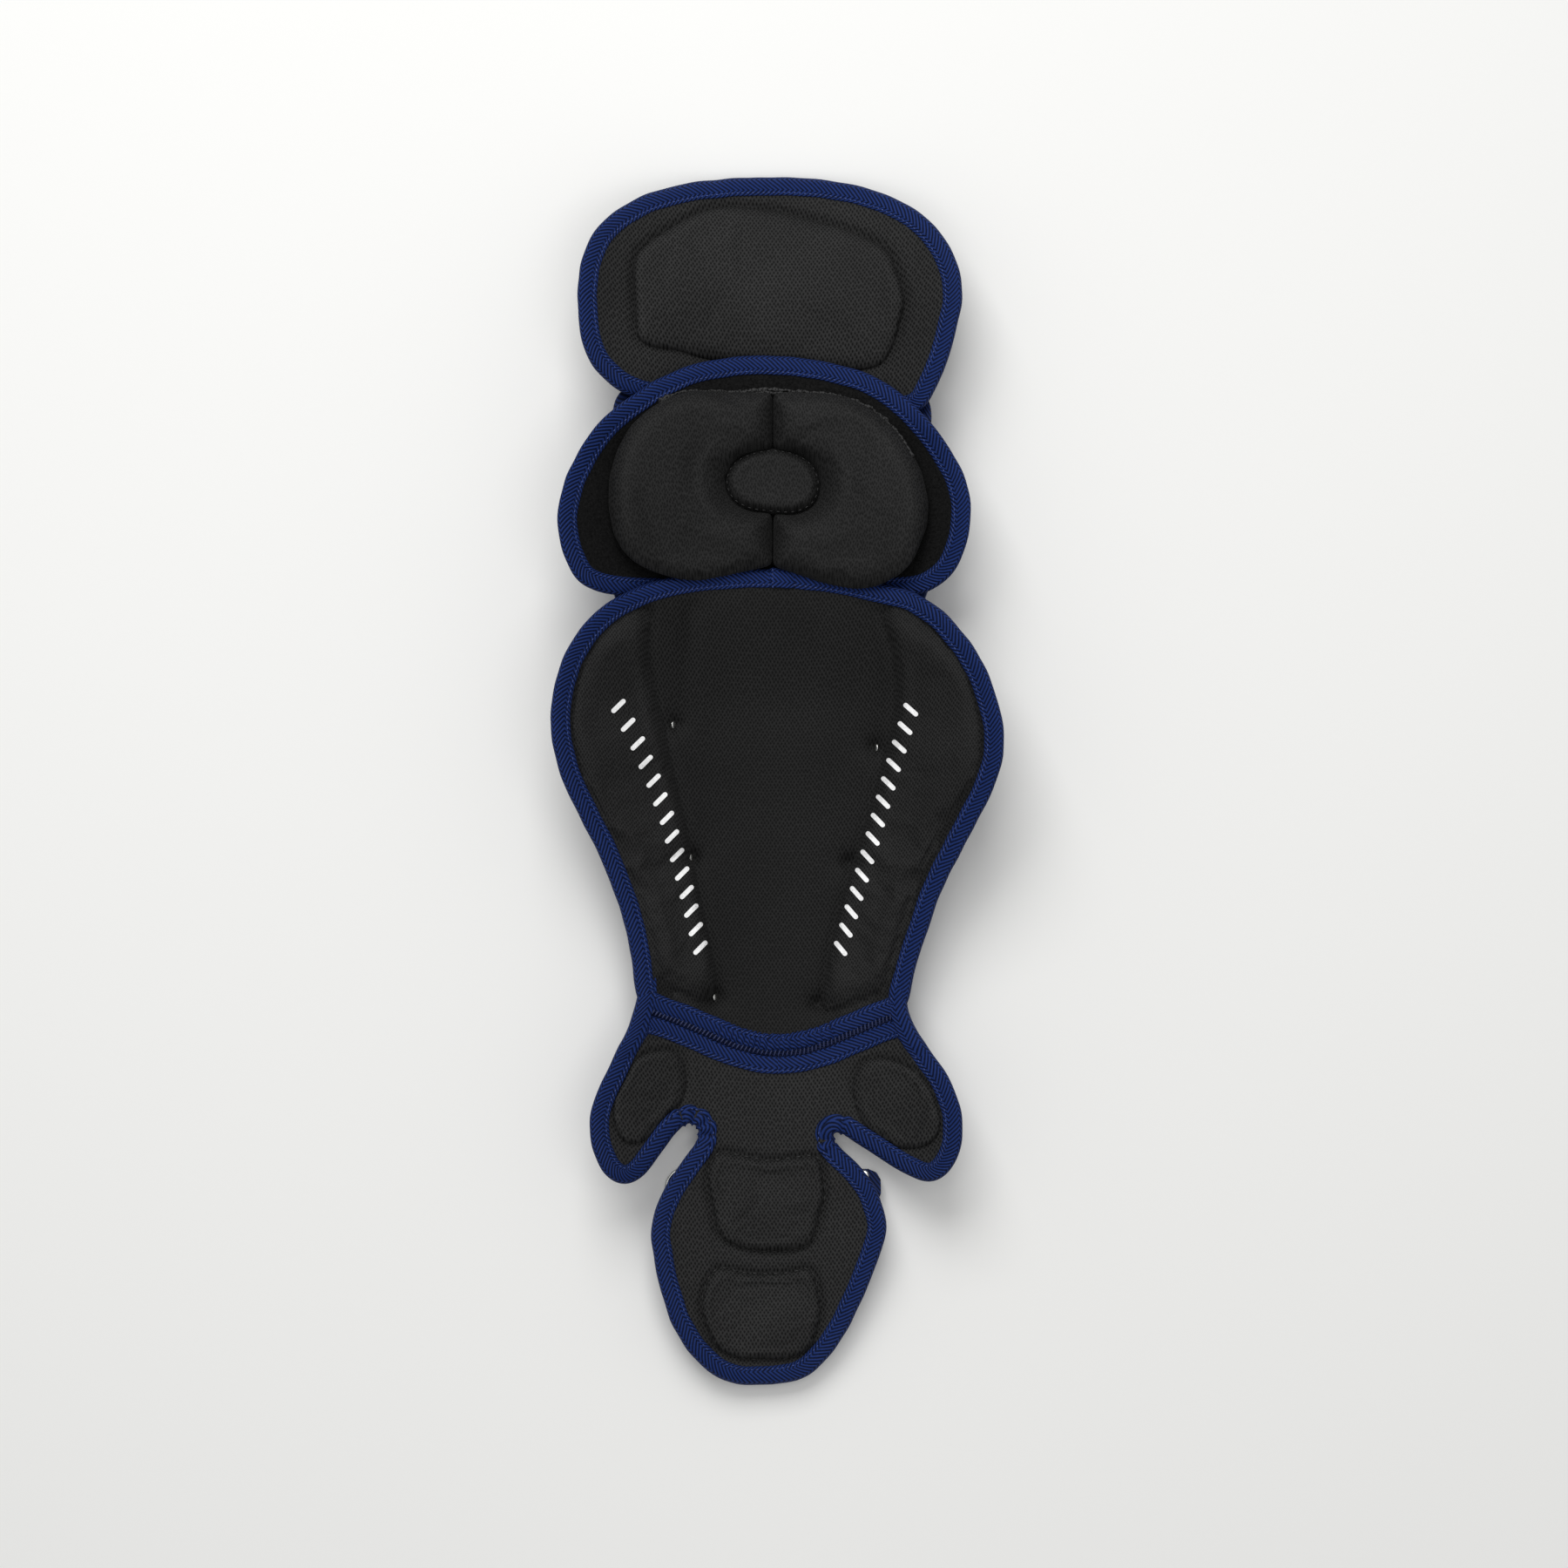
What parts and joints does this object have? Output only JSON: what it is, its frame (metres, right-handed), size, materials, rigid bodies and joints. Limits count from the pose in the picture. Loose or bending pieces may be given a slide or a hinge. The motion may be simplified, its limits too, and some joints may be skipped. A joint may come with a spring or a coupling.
{
  "type": "catcher leg guard",
  "caption": "Padded leg guard for a ball-game catcher: taped thigh, knee, shin and ankle panels that overlap on hard front shells.",
  "frame": {"origin": "centre of the bounding box's bottom face, on the floor that the hard front lies on", "axes": "+Y along the leg towards the thigh, +Z away from the floor towards the leg, +X to the right as seen from the leg side"},
  "size_m": [0.2581, 0.6974, 0.0816],
  "materials": {
    "black_mesh": "matte honeycomb mesh over foam",
    "black_knit": "brushed knit over foam",
    "navy_tape": "herringbone woven tape",
    "navy_shell": "plain moulded shell, smooth",
    "steel": "bright nickel plate"
  },
  "bodies": {
    "root": {"ankle_binding": "navy_tape", "ankle_flap": "black_mesh", "foot_ring": "steel", "foot_shell": "navy_shell", "foot_strap": "navy_tape", "foot_strap_rivet": "steel", "instep_pad_lower": "black_mesh", "instep_pad_upper": "black_mesh", "knee_binding": "navy_tape", "knee_pad_centre": "black_knit", "knee_pad_left": "black_knit", "knee_pad_right": "black_knit", "knee_panel": "black_knit", "knee_rivet_left": "steel", "knee_rivet_right": "steel", "knee_shell": "navy_shell", "liner_rivet_left_1": "steel", "liner_rivet_left_2": "steel", "liner_rivet_left_3": "steel", "liner_rivet_right_1": "steel", "liner_rivet_right_2": "steel", "liner_rivet_right_3": "steel", "shin_binding": "navy_tape", "shin_liner": "black_mesh", "shin_shell": "navy_shell", "shin_side_pad_left": "black_mesh", "shin_side_pad_right": "black_mesh", "thigh_binding": "navy_tape", "thigh_bridge": "navy_tape", "thigh_cushion": "black_mesh", "thigh_pad": "black_mesh", "wing_pad_left": "black_mesh", "wing_pad_right": "black_mesh"}
  },
  "joints": []
}
